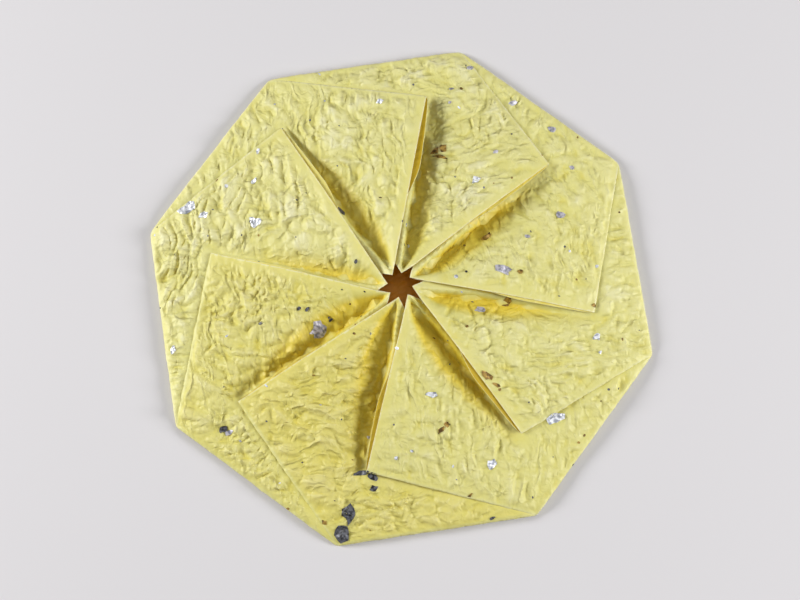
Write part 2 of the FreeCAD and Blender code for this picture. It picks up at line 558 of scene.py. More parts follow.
def outlines(along_folds, along_raw):
    """The edges of a panel, of the hidden pleat and of the base, each running counter-clockwise."""
    rim = spread(far_corner, near_corner, along_folds)
    mountain = spread(far_corner, flap_tip, along_folds)
    valley = spread(near_corner, valley_end, along_folds * 1.5)
    next_valley = turned(valley, -TURN)
    panel = [
        ("rim", rim),
        ("valley", valley),
        ("raw_low", spread(valley_end, star_tip, along_raw)),
        ("raw_top", spread(star_tip, flap_tip, along_raw)),
        ("mountain", mountain[::-1]),
    ]
    hidden = [
        ("valley", next_valley),
        ("raw_pleat", pleat_edge(along_raw)[::-1]),
        ("mountain", mountain[::-1]),
    ]
    base = [(f"rim_{number}", turned(rim, panel_angles[0] + TURN * number)) for number in range(SIDES)]
    return panel, hidden, base


print("sides of a panel's outline:", len(outlines(0.6, 0.55)[0]))

# %% The three layers, finely and coarsely
OVERLAP = 1.5


def make_layers(along_folds, show, hide, under, pleat, rows):
    """The three layers, with grid spacings in mm for what shows, what is hidden, the base and the pleats.

    A spacing function gives all its spacings, or the one that each point is to have.
    """
    panel, hidden, base = outlines(along_folds, 0.55)
    before = pleats[-1]

    def panel_spacing(points):
        if points is None:
            return [show, hide]
        seen = turned(points, pleats[0].angle)
        tucked = (before.past_edge(seen) < -OVERLAP) & (before.past_mountain(seen) < -OVERLAP)
        return np.where(tucked & (seen @ before.across > 0), hide, show)

    def pleat_spacing(points):
        if points is None:
            return [pleat, hide]
        seen = turned(points, pleats[0].angle)
        return np.where(pleats[0].past_edge(seen) > -OVERLAP, pleat, hide)

    def base_spacing(points):
        return [under] if points is None else np.full(len(points), under)

    return {
        "panel": Layer(panel, ("rim", "valley", "mountain"), panel_spacing, rows),
        "pleat": Layer(hidden, ("valley", "mountain", "raw_pleat"), pleat_spacing, rows),
        "base": Layer(base, tuple(name for name, points in base), base_spacing, rows),
    }


fine = {"along_folds": 0.6, "show": 0.445, "hide": 2.4, "under": 1.3, "pleat": 1.4, "rows": (0.04, 0.14, 0.3)}
coarse = {"along_folds": 1.6, "show": 2.4, "hide": 2.8, "under": 3.0, "pleat": 1.0, "rows": (0.08, 0.3)}
outer_layers = make_layers(**fine)
inner_layers = make_layers(**coarse)
for name, layer in outer_layers.items():
    print(name, "triangles:", len(layer.triangles), "inner:", len(inner_layers[name].triangles))

# %% [markdown]
# ## Where each point of the sheet goes
# A point of a layer gets its height from the functions above. Near a fold the two layers that meet there
# turn towards each other along half a circle, so the upper one dips and the lower one lifts until they
# meet half way. Each point also keeps its place on the flat sheet, found by unfolding, for the wrinkles and
# for the paper's colour to run on across every fold.

# %% Bending and unfolding
def bent(points, line, upper, lower):
    """How far a layer moves towards the layer that it meets in a fold."""
    away, foot = from_line(points, *line)
    radius = np.maximum(upper(foot) - lower(foot), 0) / 2
    share = np.clip(away / np.maximum(radius, 1e-6), 0, 1)
    return radius * (1 - np.sqrt(1 - (1 - share) ** 2))


def mirrored(points, start, end):
    """Points reflected in the line from start to end."""
    way = (end - start) / np.linalg.norm(end - start)
    away = points - start
    return start + 2 * (away @ way)[:, None] * way - away


def pulled(number, points):
    """A flap's points moved with its tip, so that no two flaps end in quite the same place."""
    pleat = pleats[number]
    way = pleat.valley - pleat.corner
    side = np.array([way[1], -way[0]]) / np.linalg.norm(way)
    reach = (pleat.tip - pleat.shift - pleat.corner) @ side
    if reach < 0:
        side, reach = -side, -reach
    share = np.maximum((points - pleat.corner) @ side, 0) / reach
    return points + share[:, None] * pleat.shift


print("flap tips moved, mm:", [round(float(np.linalg.norm(pleat.shift)), 1) for pleat in pleats])

# %% [markdown]
# ## Where the paper is painted in shade, and where it is painted with a highlight
# Light that gets into a groove bounces between yellow walls and comes out a deeper gold, and the rounded bend
# of a fold catches the light and looks paler than the open sheet. Both are painted into the colour, as
# painted shade and painted highlight. One number at each point carries both to the material: below 0 for the
# painted highlight on folds and raw edges, 0 on open paper, 1 in a groove, 1.4 on the band of hidden paper,
# and 2 on the base under the star.

# %% Place a panel
FOLD_HIGHLIGHT_WIDTH = 0.36


def place_panel(number, local):
    """A panel's points in place and on the flat sheet, their painted shade or highlight, and how far they
    show.
    """
    pleat, previous = pleats[number], pleats[number - 1]
    points = pulled(number, turned(local, pleat.angle))
    panel = partial(panel_height, number)
    height = panel(points)
    height -= bent(points, (pleat.corner, previous.corner), panel, base_height)
    height -= bent(points, (pleat.corner, pleat.tip), panel, partial(pleat_height, number))
    height += bent(points, (previous.corner, previous.valley), partial(pleat_height, number - 1), panel)
    flat = turned(np.stack([2 * apothem - local[:, 0], local[:, 1]], -1), pleat.angle)
    t = previous.along_edge(points)
    w = previous.past_edge(points)
    # Painted shade: the groove, the slit near the star, a strip beside the raw edge and the panel's share
    # deepen the gold.
    deep = trough(number - 1, points)
    slit = fade((w - lip_start[number - 1]) / 0.3)
    slit = slit * fade((t - 0.5) / 0.3)
    hollow = np.clip(smooth((deep - 0.1) / 1.7) + slit + panel_shade[number], -0.2, 1)
    hollow = hollow + 0.12 * fade((w - 1) / 3) * smooth(deep / 1.2)
    # Painted highlight: the panel's two folds are made paler, where their rounded bends catch the light.
    for line in ((pleat.corner, pleat.tip), (pleat.corner, previous.corner)):
        hollow = hollow - np.exp(-((from_line(points, *line)[0] / FOLD_HIGHLIGHT_WIDTH) ** 2))
    return np.column_stack([points, height]), flat, hollow, 1 - covered(number, points)


first_panel = place_panel(0, outer_layers["panel"].points)[0]
print("first panel, mm high:", round(float(first_panel[:, 2].max()), 1))

# %% Place a hidden pleat and the base
BAND_HOLLOW = 1.4
USUAL_BAND = 1.35
STAR_SHADE_REACH = 14
BASE_RELIEF = 0.25


def place_pleat(number, local):
    """The same for a hidden pleat, whose band beside the raw edge is drawn out to its own width."""
    pleat = pleats[number]
    points = pulled(number, turned(local, pleat.angle))
    past = pleat.past_edge(points)
    widen = np.maximum(past, 0) * (band_width[number] / USUAL_BAND - 1)
    points = points + widen[:, None] * pleat.beyond
    hidden, next_panel = partial(pleat_height, number), partial(panel_height, (number + 1) % SIDES)
    height = hidden(points)
    height += bent(points, (pleat.corner, pleat.tip), partial(panel_height, number), hidden)
    height -= bent(points, (pleat.corner, pleat.valley), hidden, next_panel)
    opened = mirrored(local, far_corner, flap_tip)
    flat = turned(np.stack([2 * apothem - opened[:, 0], opened[:, 1]], -1), pleat.angle)
    # Painted shade: the band beside the raw edge gets deep gold, the shade of the gap that it lies in.
    hollow = np.maximum(BAND_HOLLOW * band_shade[number], smooth((0.3 - past) / 0.4))
    hollow = np.minimum(hollow, BAND_HOLLOW)
    return np.column_stack([points, height]), flat, hollow, np.zeros(len(points))


def place_base(local):
    """The same for the base, with painted amber shade under the star, and little crumple because it lies on
    the table.
    """
    height = base_height(local)
    for number in range(SIDES):
        line = (pleats[number].corner, pleats[number - 1].corner)
        height += bent(local, line, partial(panel_height, number), base_height)
    # Painted shade: amber on the base under the star, where the hole is deep and dark.
    hollow = 2 * smooth((STAR_SHADE_REACH - np.linalg.norm(local, axis=1)) / 5)
    return np.column_stack([local, height]), local.copy(), hollow, np.full(len(local), BASE_RELIEF)


print("base, points:", len(place_base(outer_layers["base"].points)[0]))

# %% [markdown]
# ## One side of the paper
# The eight panels, the eight hidden pleats and the base are joined by giving the points of each fold one
# number in place of two. What comes out is the middle of the sheet, with a normal at every point. Moving
# it half a thickness each way makes the two faces of the paper.

# %% One number for each point of a fold
def joined(edges, count):
    """For each of count points, the number of the point that it is the same as."""
    same = np.arange(count)

    def root(index):
        while same[index] != index:
            index = same[index]
        return index

    for number in range(SIDES):
        after = (number + 1) % SIDES
        pairs = [
            (edges[(("panel", number), "rim")], edges[("base", f"rim_{(-number) % SIDES}")]),
            (edges[(("panel", number), "mountain")], edges[(("pleat", number), "mountain")]),
            (edges[(("pleat", number), "valley")], edges[(("panel", after), "valley")]),
        ]
        for ones, others in pairs:
            for one, other in zip(ones, others):
                roots = [root(one), root(other)]
                same[max(roots)] = min(roots)
    for index in range(count):
        same[index] = same[same[index]]
    return same


def point_normals(points, triangles):
    """The mean direction of the triangles round each point."""
    a, b, c = (points[triangles[:, i]] for i in range(3))
    facing = np.cross(b - a, c - a)
    normals = np.zeros_like(points)
    for corner in range(3):
        np.add.at(normals, triangles[:, corner], facing)
    return normals / np.maximum(np.linalg.norm(normals, axis=1), 1e-12)[:, None]


print("folds to join:", 3 * SIDES)

# %% Join the layers
def join(layers):
    """The joined middle surface: points, normals, flat places, triangles and the raw edges."""
    placed, triangles, edges = [], [], {}
    count = 0
    parts = []
    for number in range(SIDES):
        parts.append((("panel", number), layers["panel"], partial(place_panel, number), False))
        parts.append((("pleat", number), layers["pleat"], partial(place_pleat, number), True))
    parts.append(("base", layers["base"], place_base, True))
    for key, layer, place, flip in parts:
        placed.append(place(layer.points))
        faces = layer.triangles + count
        triangles.append(faces[:, ::-1] if flip else faces)
        for name, ids in layer.edges.items():
            edges[(key, name)] = np.array(ids) + count
        count += len(layer.points)
    spots, flats, hollows, shown = (np.concatenate(values) for values in zip(*placed))
    same = joined(edges, count)
    used, final = np.unique(same, return_inverse=True)
    apart = np.linalg.norm(spots - spots[same], axis=1)
    print("largest step closed in a fold, mm:", round(float(apart.max()), 4))
    triangles = final[np.concatenate(triangles)]
    return {
        "points": spots[used],
        "normals": point_normals(spots[used], triangles),
        "flat": flats[used],
        "hollow": hollows[used],
        "shown": shown[used],
        "triangles": triangles,
        "raw": {key: final[ids] for key, ids in edges.items() if "raw" in key[1]},
    }


outer = join(outer_layers)
inner = join(inner_layers)
print("outer triangles:", len(outer["triangles"]), "inner triangles:", len(inner["triangles"]))

# %% [markdown]
# ## Thickness and crumple
# The crumple is laid on the outer face only, where it shows, and it fades beside every fold and raw edge,
# because a crease pulls the paper flat. The base keeps a quarter of it, pressed out by the table. The inner
# face is coarse and almost smooth: it is hidden, but for a strip beside the raw edges of the pleats.

# %% How much crumple is left
FOLD_REACH = 2.2
EDGE_REACH = 4


def calm_at_folds(side):
    """How much of the crumple is left: about 1 on open paper, and less beside folds and towards the right."""
    points = side["points"][:, :2]
    calm = 1.04 + 0.29 * np.clip(points @ np.array([-0.85, 0.3]) / 50, -1, 1)
    for pleat in pleats:
        for line in ((pleat.corner, pleat.tip), (pleat.corner, pleats[pleat.number - 1].corner)):
            calm = calm * (0.15 + 0.85 * smooth(from_line(points, *line)[0] / FOLD_REACH))
        calm = calm * (0.12 + 0.88 * smooth(from_line(points, pleat.star, pleat.tip)[0] / EDGE_REACH))
        calm = calm * (1 - 0.9 * lip(pleat.number, points))
    return calm * (0.2 + 0.8 * smooth((np.linalg.norm(points, axis=1) - 4) / 14))


calm = calm_at_folds(outer)
print_range("crumple left:", calm)

# %% Two faces and the raw edges between them
INNER_RELIEF = 0.12
relief = crumple(outer["flat"]) * calm * outer["shown"]
inner_relief = np.maximum(crumple(inner["flat"]), 0) * INNER_RELIEF
outer_face = outer["points"] + outer["normals"] * (PAPER / 2 + relief)[:, None]
inner_face = inner["points"] - inner["normals"] * (PAPER / 2 - inner_relief)[:, None]
rise = -min(float(outer_face[:, 2].min()), 0)
vertices = np.concatenate([outer_face, inner_face]) * MM
vertices[:, 2] += rise * MM
offset = len(outer_face)
faces = [tuple(t) for t in outer["triangles"].tolist()]
faces += [tuple(t) for t in (inner["triangles"][:, ::-1] + offset).tolist()]
for key, ids in outer["raw"].items():
    others = inner["raw"][key] + offset
    for a, b, c, d in zip(ids[:-1], ids[1:], others[1:], others[:-1]):
        faces.append((int(a), int(b), int(c), int(d)))
print("raised by, mm:", round(rise, 3), "faces:", len(faces))

# %% Make the mesh
mesh = bpy.data.meshes.new("tato_paper")
mesh.from_pydata(vertices.tolist(), [], faces)
flat_places = np.concatenate([outer["flat"], inner["flat"]]) / 10
layer = mesh.uv_layers.new(name="flat_sheet")
corner_vertices = np.empty(len(mesh.loops), np.int32)
mesh.loops.foreach_get("vertex_index", corner_vertices)
layer.data.foreach_set("uv", flat_places[corner_vertices].astype(np.float32).ravel())
print("flat sheet, cm:", round(float(np.ptp(flat_places[:, 0])), 1), "wide")

# %% What the material needs to know at each point
HIGHLIGHT_LEVEL_AT_EDGES = 0.6
RAW_EDGE_HIGHLIGHT = -0.9
INNER_HEIGHT = 0.4
INNER_CALM = 0.3


def keep_on_points(name, values, kind="FLOAT"):
    """Keep one number for each point of the mesh, under a name that node trees can read."""
    dtype = np.float32 if kind == "FLOAT" else bool
    mesh.attributes.new(name, kind, "POINT").data.foreach_set("value", values.astype(dtype))


# Painted highlight: the lips are made paler, as strips that catch the light.
lips = np.max([lip(number, outer["points"][:, :2]) for number in range(SIDES)], axis=0) * outer["shown"]
inner_count = len(inner_face)
crumple_and_highlight = np.concatenate([relief + 0.5 * lips, np.full(inner_count, INNER_HEIGHT)])
underside = (outer["normals"][:, 2] < -0.5) & (outer["points"][:, 2] < 2 * BASE)
hollow_shown = np.concatenate([np.where(underside, 0, outer["hollow"]), inner["hollow"]])
# Painted highlight: the raw edges of both faces are made pale, where the cut edge catches the light.
for key in outer["raw"]:
    for ids in (outer["raw"][key], inner["raw"][key] + offset):
        crumple_and_highlight[ids] = HIGHLIGHT_LEVEL_AT_EDGES
        hollow_shown[ids] = RAW_EDGE_HIGHLIGHT
keep_on_points("crumple", crumple_and_highlight)
keep_on_points("calm", np.concatenate([calm, np.full(inner_count, INNER_CALM)]))
keep_on_points("outside", np.concatenate([outer["shown"] > 0.4, np.zeros(inner_count)]), "BOOLEAN")
keep_on_points("hollow", hollow_shown)
print_range("hollow:", hollow_shown)

# %% Close and smooth the sheet
def close_up(mesh):
    """Turn every face outwards, and count the edges that don't join exactly two faces."""
    shape = bmesh.new()
    shape.from_mesh(mesh)
    bmesh.ops.recalc_face_normals(shape, faces=shape.faces)
    loose = sum(len(edge.link_faces) != 2 for edge in shape.edges)
    shape.to_mesh(mesh)
    shape.free()
    return loose


def put_in_scene(name, data):
    """A new object of a mesh, a lamp or a camera."""
    piece = bpy.data.objects.new(name, data)
    bpy.context.scene.collection.objects.link(piece)
    return piece


loose = close_up(mesh)
mesh.shade_smooth()
mesh.set_sharp_from_angle(angle=math.radians(50))
paper_sheet = put_in_scene("tato_paper", mesh)
print("edges not shared by two faces:", loose)

# %% [markdown]
# ## The paper's finish, with painted shade and highlight
# Thin handmade paper scatters light on its surface and lets some of it through, which helps the folds glow a
# deeper gold than the open panels; the rest of that gold is painted shade. A Principled shader mixed with a
# Translucent one does both. The colour wanders a little, as dye does in handmade paper. It is painted paler
# on crests, lips, folds and raw edges as painted highlight, and deeper gold in creases and grooves as painted
# shade. The finest creases are a bump: two folded noises, drawn out crosswise, and a faint network of cells.
# All of it is drawn on the flat sheet, in cm.

# %% Helpers for node trees
def give(tree, socket, value):
    """A socket takes another node's socket as a link, and anything else as its value."""
    if isinstance(value, bpy.types.NodeSocket):
        tree.links.new(value, socket)
    else:
        socket.default_value = value


def wire(tree, node, **sockets):
    """Give a node what its sockets are to have, by name, with _ for a space."""
    for name, value in sockets.items():
        give(tree, node.inputs[name.replace("_", " ")], value)
    return node


def add(tree, kind, settings=None, **sockets):
    """A new node. Its settings come before its sockets, because they change which sockets it has."""
    made = tree.nodes.new(kind)
    for name, value in (settings or {}).items():
        setattr(made, name, value)
    return wire(tree, made, **sockets)


def work_out(tree, kind, operation, *parts):
    """A Math or Vector Math node, whose sockets are given in order."""
    made = add(tree, kind, {"operation": operation})
    for socket, value in zip(made.inputs, parts):
        give(tree, socket, value)
    return made.outputs[0]


print("a socket can take a value or a link")

# %% Helpers for materials
def map_range(tree, value, low_in, high_in, low_out, high_out):
    """A socket's range brought to another range, and held there."""
    limits = {"From_Min": low_in, "From_Max": high_in, "To_Min": low_out, "To_Max": high_out}
    return add(tree, "ShaderNodeMapRange", Value=value, **limits).outputs["Result"]


def blend_of(tree, level, stops):
    """The colour at a level on a ramp through stops of (place, colour)."""
    ramp = add(tree, "ShaderNodeValToRGB", Fac=level)
    first, *between, last = stops
    elements = ramp.color_ramp.elements
    for element, (position, colour) in zip(list(elements), (first, last)):
        element.position = position
        element.color = (*colour, 1)
    for position, colour in between:
        elements.new(position).color = (*colour, 1)
    return ramp.outputs["Color"]


def new_material(name):
    """A material whose tree has nothing but an output and a Principled shader."""
    material = bpy.data.materials.new(name)
    material.use_nodes = True
    tree = material.node_tree
    tree.nodes.clear()
    output = tree.nodes.new("ShaderNodeOutputMaterial")
    return material, tree, output, tree.nodes.new("ShaderNodeBsdfPrincipled")


paper, tree, output, shader = new_material("crumpled_lemon_paper")
node, ranged = partial(add, tree), partial(map_range, tree)
maths = partial(work_out, tree, "ShaderNodeMath")
vector_maths = partial(work_out, tree, "ShaderNodeVectorMath")
print("nodes to start with:", len(tree.nodes))

# %% Fine creases
place = node("ShaderNodeUVMap", {"uv_map": "flat_sheet"}).outputs["UV"]
sway = node("ShaderNodeTexNoise", Vector=place, Scale=1.1, Detail=2.5)
swayed = vector_maths("MULTIPLY_ADD", sway.outputs["Color"], (0.6, 0.6, 0), place)
cells = node("ShaderNodeTexVoronoi", {"feature": "DISTANCE_TO_EDGE"}, Vector=swayed, Scale=6.5)
cell_height = ranged(cells.outputs["Distance"], 0.0, 0.2, 0.0, 1.0)
folded = []
for stretch in ((1.5, 0.7, 1.0), (0.7, 1.5, 1.0)):
    drawn = vector_maths("MULTIPLY", swayed, stretch)
    crinkle = node("ShaderNodeTexNoise", Vector=drawn, Scale=2.1, Detail=1.6, Roughness=0.5)
    folded.append(maths("ABSOLUTE", maths("SUBTRACT", crinkle.outputs["Fac"], 0.5)))
creased = maths("SUBTRACT", maths("MULTIPLY", folded[0], 0.4), folded[1])
calmness = node("ShaderNodeAttribute", {"attribute_name": "calm"}).outputs["Fac"]
relief_left = ranged(calmness, 0.0, 1.5, 0.15, 1.6)
fine_height = maths("ADD", maths("MULTIPLY", cell_height, 0.03), creased)
fine_height = maths("MULTIPLY", fine_height, relief_left)
bump = node("ShaderNodeBump", Height=fine_height, Strength=1.0, Distance=0.0023)
wire(tree, shader, Normal=bump.outputs["Normal"])
print("nodes with the creases:", len(tree.nodes))

# %% Colour of the paper
clouds = node("ShaderNodeTexNoise", Vector=place, Scale=0.9, Detail=5.0)
height = node("ShaderNodeAttribute", {"attribute_name": "crumple"}).outputs["Fac"]
hollow = node("ShaderNodeAttribute", {"attribute_name": "hollow"}).outputs["Fac"]
# Painted highlight and shade: paler where the crumple is high, on lips and raw edges; darker gold in creases.
shade_and_highlight_by_height = ranged(height, -0.1, 0.8, -0.14, 0.26)
crease_shade = ranged(creased, -0.2, 0.06, -0.1, 0.14)
by_cloud = ranged(clouds.outputs["Fac"], 0.3, 0.7, 0.42, 0.60)
# Painted highlight on folds and raw edges, where hollow is below 0.
fold_highlight = ranged(hollow, -1.0, 0.0, 0.4, 0.0)
level = maths("ADD", maths("ADD", shade_and_highlight_by_height, crease_shade), maths("ADD", by_cloud, fold_highlight))
lemon = [
    (0.12, (0.79, 0.70, 0.10)),
    (0.45, (0.83, 0.81, 0.29)),
    (0.8, (0.86, 0.85, 0.39)),
    (1.0, (0.92, 0.92, 0.57)),
]
open_colour = blend_of(tree, level, lemon)
print("nodes with the colour:", len(tree.nodes))

# %% Painted shade: gold in the grooves, amber under the star
# Painted shade: the more hollow a point, the deeper its gold, up to amber under the star.
gold = [
    (0.15, (0.74, 0.68, 0.12)),
    (0.5, (0.88, 0.70, 0.045)),
    (0.7, (0.50, 0.33, 0.004)),
    (1.0, (0.98, 0.39, 0.002)),
]
painted_shade_colour = blend_of(tree, maths("MULTIPLY", hollow, 0.5), gold)
share = maths("MULTIPLY", hollow, 0.85)
deepened = node("ShaderNodeMix", {"data_type": "RGBA"}, Factor=share, A=open_colour, B=painted_shade_colour)
wire(tree, shader, Base_Color=deepened.outputs["Result"])
print("nodes with the gold:", len(tree.nodes))

# %% Light on the paper and through it
wire(tree, shader, Roughness=0.5, Specular_IOR_Level=0.55)
glow = node("ShaderNodeBsdfTranslucent", Color=(0.95, 0.74, 0.06, 1))
both = node("ShaderNodeMixShader", Fac=0.26)
give(tree, both.inputs[1], shader.outputs["BSDF"])
give(tree, both.inputs[2], glow.outputs["BSDF"])
wire(tree, output, Surface=both.outputs["Shader"])
mesh.materials.append(paper)
print("nodes in the paper:", len(tree.nodes))

# %% [markdown]
# ## Flecks in the paper
# The papermaker threw torn metal leaf and dark bits of bark into the pulp. A big fleck is a thin scrap with a
# ragged outline that lies on every wrinkle under it. A ray dropped on the paper gives the height of each of
# its points, and an underside pressed a little into the paper closes it. The big flecks are listed one by
# one, and the many small specks are scattered by Geometry Nodes.

# %% The paper's height under a point
DROP_FROM = 0.05
paper_top = BVHTree.FromPolygons([Vector(v) for v in vertices[:offset]], outer["triangles"].tolist())


def height_at(x, y):
    """Height of the paper in mm, by a ray that falls on it."""
    hit = paper_top.ray_cast(Vector((x * MM, y * MM, DROP_FROM)), Vector((0, 0, -1)))[0]
    return hit.z / MM


print("paper at the first flap, mm:", round(height_at(*(pleats[0].tip * 0.9)), 1))

# %% One scrap
SCRAP_GRID = 0.3
SCRAP_TOP = 0.14
SCRAP_UNDER = -0.02


def ragged_outline(length, width, heading, dice):
    """A torn, angular outline about its own middle, in mm."""
    count = 7 + int(length)
    angles = (np.arange(count) + dice.uniform(-0.35, 0.35, count)) * math.tau / count
    reach = dice.uniform(0.6, 1.2, count)
    corners = np.stack([np.cos(angles) * length / 2 * reach, np.sin(angles) * width / 2 * reach], -1)
    outline = np.concatenate([spread(a, b, 0.35)[:-1] for a, b in zip(corners, np.roll(corners, -1, axis=0))])
    return turned(outline, math.radians(heading))


def scrap(x, y, length, width, heading, dice, curl):
    """One closed scrap: its points in mm and its faces."""
    outline = ragged_outline(length, width, heading, dice) + np.array([x, y])
    columns = np.arange(-length, length, SCRAP_GRID)
    fill = np.stack(np.meshgrid(x + columns, y + columns), -1).reshape(-1, 2)
    fill = clear_of(fill[inside(fill, outline)], outline, 0.13)
    flat, triangles = triangulated(np.concatenate([outline, fill]), len(outline))[:2]
    lie = np.array([height_at(*p) for p in flat])
    top = np.column_stack([flat, lie + SCRAP_TOP + curl * np.abs(noise(flat / 0.9, 61))])
    under = np.column_stack([flat, lie + SCRAP_UNDER])
    count = len(flat)
    faces = triangles + [(c + count, b + count, a + count) for a, b, c in triangles]
    sides = {(a, b) for face in triangles for a, b in zip(face, face[1:] + face[:1])}
    faces += [(b, a, a + count, b + count) for a, b in sides if (b, a) not in sides]
    return np.concatenate([top, under]), faces


print("points round a 4 mm scrap:", len(ragged_outline(4, 2, 0, np.random.default_rng(1))))

# %% [markdown]
# ## Leaf and bark
# Metal leaf is so thin that it takes every wrinkle of the paper and glints in patches, and bark is dull and
# almost black. One function makes them all: a fine noise blends a dark and a pale colour and bumps the face.
# On the silver leaf the pale patches are painted glints.
# It reads the piece's own coordinates, which are enough for scraps that are a few millimetres long.

# %% Finish of the flecks
def leaf_material(name, dark, pale, metallic, roughness):
    """Crinkled metal leaf or bark: a patchy colour and a fine bump, in the piece's own coordinates."""
    material, tree, output, shader = new_material(name)
    where = add(tree, "ShaderNodeTexCoord").outputs["Object"]
    patches = add(tree, "ShaderNodeTexNoise", Vector=where, Scale=1300, Detail=2).outputs["Fac"]
    colour = blend_of(tree, patches, [(0.38, dark), (0.56, pale)])
    wrinkle = add(tree, "ShaderNodeBump", Height=patches, Strength=0.8, Distance=0.0002)
    wire(tree, shader, Base_Color=colour, Normal=wrinkle.outputs["Normal"])
    wire(tree, shader, Metallic=metallic, Roughness=roughness)
    wire(tree, output, Surface=shader.outputs["BSDF"])
    return material


# Painted glints: the silver leaf's pale patches stand in for light that it reflects.
silver = leaf_material("silver_leaf", (0.34, 0.36, 0.42), (0.93, 0.95, 1.0), 0.35, 0.3)
grey = leaf_material("grey_leaf", (0.22, 0.22, 0.26), (0.52, 0.50, 0.56), 0.3, 0.45)
copper = leaf_material("copper_leaf", (0.10, 0.052, 0.010), (0.40, 0.25, 0.05), 0.35, 0.45)
bark = leaf_material("dark_bark", (0.014, 0.013, 0.014), (0.12, 0.125, 0.145), 0.2, 0.45)
print("finishes:", [material.name for material in (silver, grey, copper, bark)])

# %% [markdown]
# ## The scraps laid one by one
# Each scrap is given by its middle, its length and width in mm, and its heading in degrees. Two or three of
# them lie over each other where the papermaker dropped a bigger bit that tore.

# %% Where the scraps lie
silver_scraps = [
    (-48, 28, 5.5, 2.8, 25), (-44, 25.5, 2.6, 1.8, 10), (-32, 21.5, 3.4, 2.8, -40), (2, 47, 2.2, 1.5, 20),
    (45, -18, 2.4, 2, 60), (15, -44.5, 2.6, 2.4, 50), (3.5, -26.5, 2.8, 1.6, -10), (32, -36, 4.5, 2.8, 20),
    (-56, -6, 2.4, 1.3, 70), (-31, 32, 1.8, 1.3, 30), (-29, 39.5, 1.5, 1, 60), (22, 23.5, 2.8, 1.8, 25),
    (-7, -40, 1.2, 0.9, 0), (45, -22, 1.1, 0.7, 30),
]
grey_scraps = [
    (25, 0.5, 4.4, 2.4, -22), (-20.5, -7, 5.2, 3.8, 30), (18, -8, 2.6, 1.6, -10), (25.5, 53, 2.2, 1.5, 10),
    (34.5, 42.5, 2.8, 1.2, 15), (43, 34.5, 2.6, 1.8, -10), (41, 12.5, 2.4, 1.6, -10),
    (46, 24, 1.8, 1.1, -35), (28, 30, 1.5, 1.2, 0), (20, 48, 1.1, 0.8, 0), (19, 44.5, 1, 0.8, 0),
    (32, 8, 1.6, 1, 0), (-45.3, -27.6, 2.2, 1.6, 20),
]
copper_scraps = [
    (13.5, 32.5, 2.6, 1.8, 40), (15.5, 33, 2, 2.2, 0), (14.5, 30.8, 3.2, 1.2, -20), (22.5, 9.5, 3, 1.3, 25),
    (17, -24, 3.8, 2, -50), (19, -26.5, 2, 1, -40), (4.5, -35, 2.6, 1.1, 40), (6, -34, 1.4, 1.2, 0),
    (24.5, -7, 2.8, 1.6, 10), (29, -0.5, 1.6, 1.3, 0), (45.5, -10.5, 1.3, 1.1, 0), (9, -51, 1.4, 0.7, 30),
    (-26, -52, 1.8, 1.2, -50),
]
dark_scraps = [
    (-19.8, -51.2, 4.6, 3.6, 70), (-22.0, -55.3, 4.2, 3.6, 50), (-15.8, -42, 3.6, 1.5, -5),
    (-13, -43.3, 3.4, 1.6, -20), (-13.3, -46, 2.2, 1.6, 20), (-46.8, -26.5, 2.6, 1.8, 30),
    (-34, -3.5, 1.4, 1.1, 0), (-22.5, -2, 1.5, 0.8, 30), (-24.5, -1.5, 1.2, 0.9, 0), (-11, 21, 2.4, 1, -60),
    (-9.5, 7.5, 1.3, 1, 40), (13.5, -57, 1.4, 0.7, 10), (-33, 21.5, 1.2, 0.6, -60),
    (-17.5, -5.2, 1.2, 0.6, 30),
]
print("scraps:", sum(map(len, (silver_scraps, grey_scraps, copper_scraps, dark_scraps))))

# %% Lay the scraps
def lay_scraps(name, scraps, curl, seed, finish):
    """One piece of all the scraps of one kind. The curl is how far they lift off the paper, in mm."""
    dice = np.random.default_rng(seed)
    spots, faces, count = [], [], 0
    for x, y, length, width, heading in scraps:
        points, made = scrap(x, y, length, width, heading, dice, curl)
        spots.append(points)
        faces += [tuple(index + count for index in face) for face in made]
        count += len(points)
    mesh = bpy.data.meshes.new(name)
    mesh.from_pydata((np.concatenate(spots) * MM).tolist(), [], faces)
    mesh.materials.append(finish)
    print(name, "scraps:", len(scraps), "faces:", len(faces), "open edges:", close_up(mesh))
    return put_in_scene(name, mesh)


flecks = [
    lay_scraps("silver_flecks", silver_scraps, 0.12, 71, silver),
    lay_scraps("grey_flecks", grey_scraps, 0.04, 72, grey),
    lay_scraps("copper_flecks", copper_scraps, 0.05, 73, copper),
    lay_scraps("dark_flecks", dark_scraps, 0.06, 74, bark),
]

# %% [markdown]
# ## Specks scattered by Geometry Nodes
# Specks smaller than a millimetre are all over the sheet, too many to lay by hand. A node tree scatters
# points over the outside of the paper, puts a thin six-sided chip on each one, turns it to lie flat there
# and gives it its own length and width. The same tree serves every finish, with other values in its inputs.

# %% Inputs of the scattering tree
specks = bpy.data.node_groups.new("scattered_specks", "GeometryNodeTree")
inputs = {
    "Paper": "NodeSocketGeometry",
    "Density": "NodeSocketFloat",
    "Smallest": "NodeSocketFloat",
    "Largest": "NodeSocketFloat",
    "Thickness": "NodeSocketFloat",
    "Seed": "NodeSocketInt",
    "Finish": "NodeSocketMaterial",
}
for name, kind in inputs.items():
    specks.interface.new_socket(name, in_out="INPUT", socket_type=kind)
specks.interface.new_socket("Specks", in_out="OUTPUT", socket_type="NodeSocketGeometry")
given = specks.nodes.new("NodeGroupInput").outputs
print("inputs of the tree:", ", ".join(inputs))

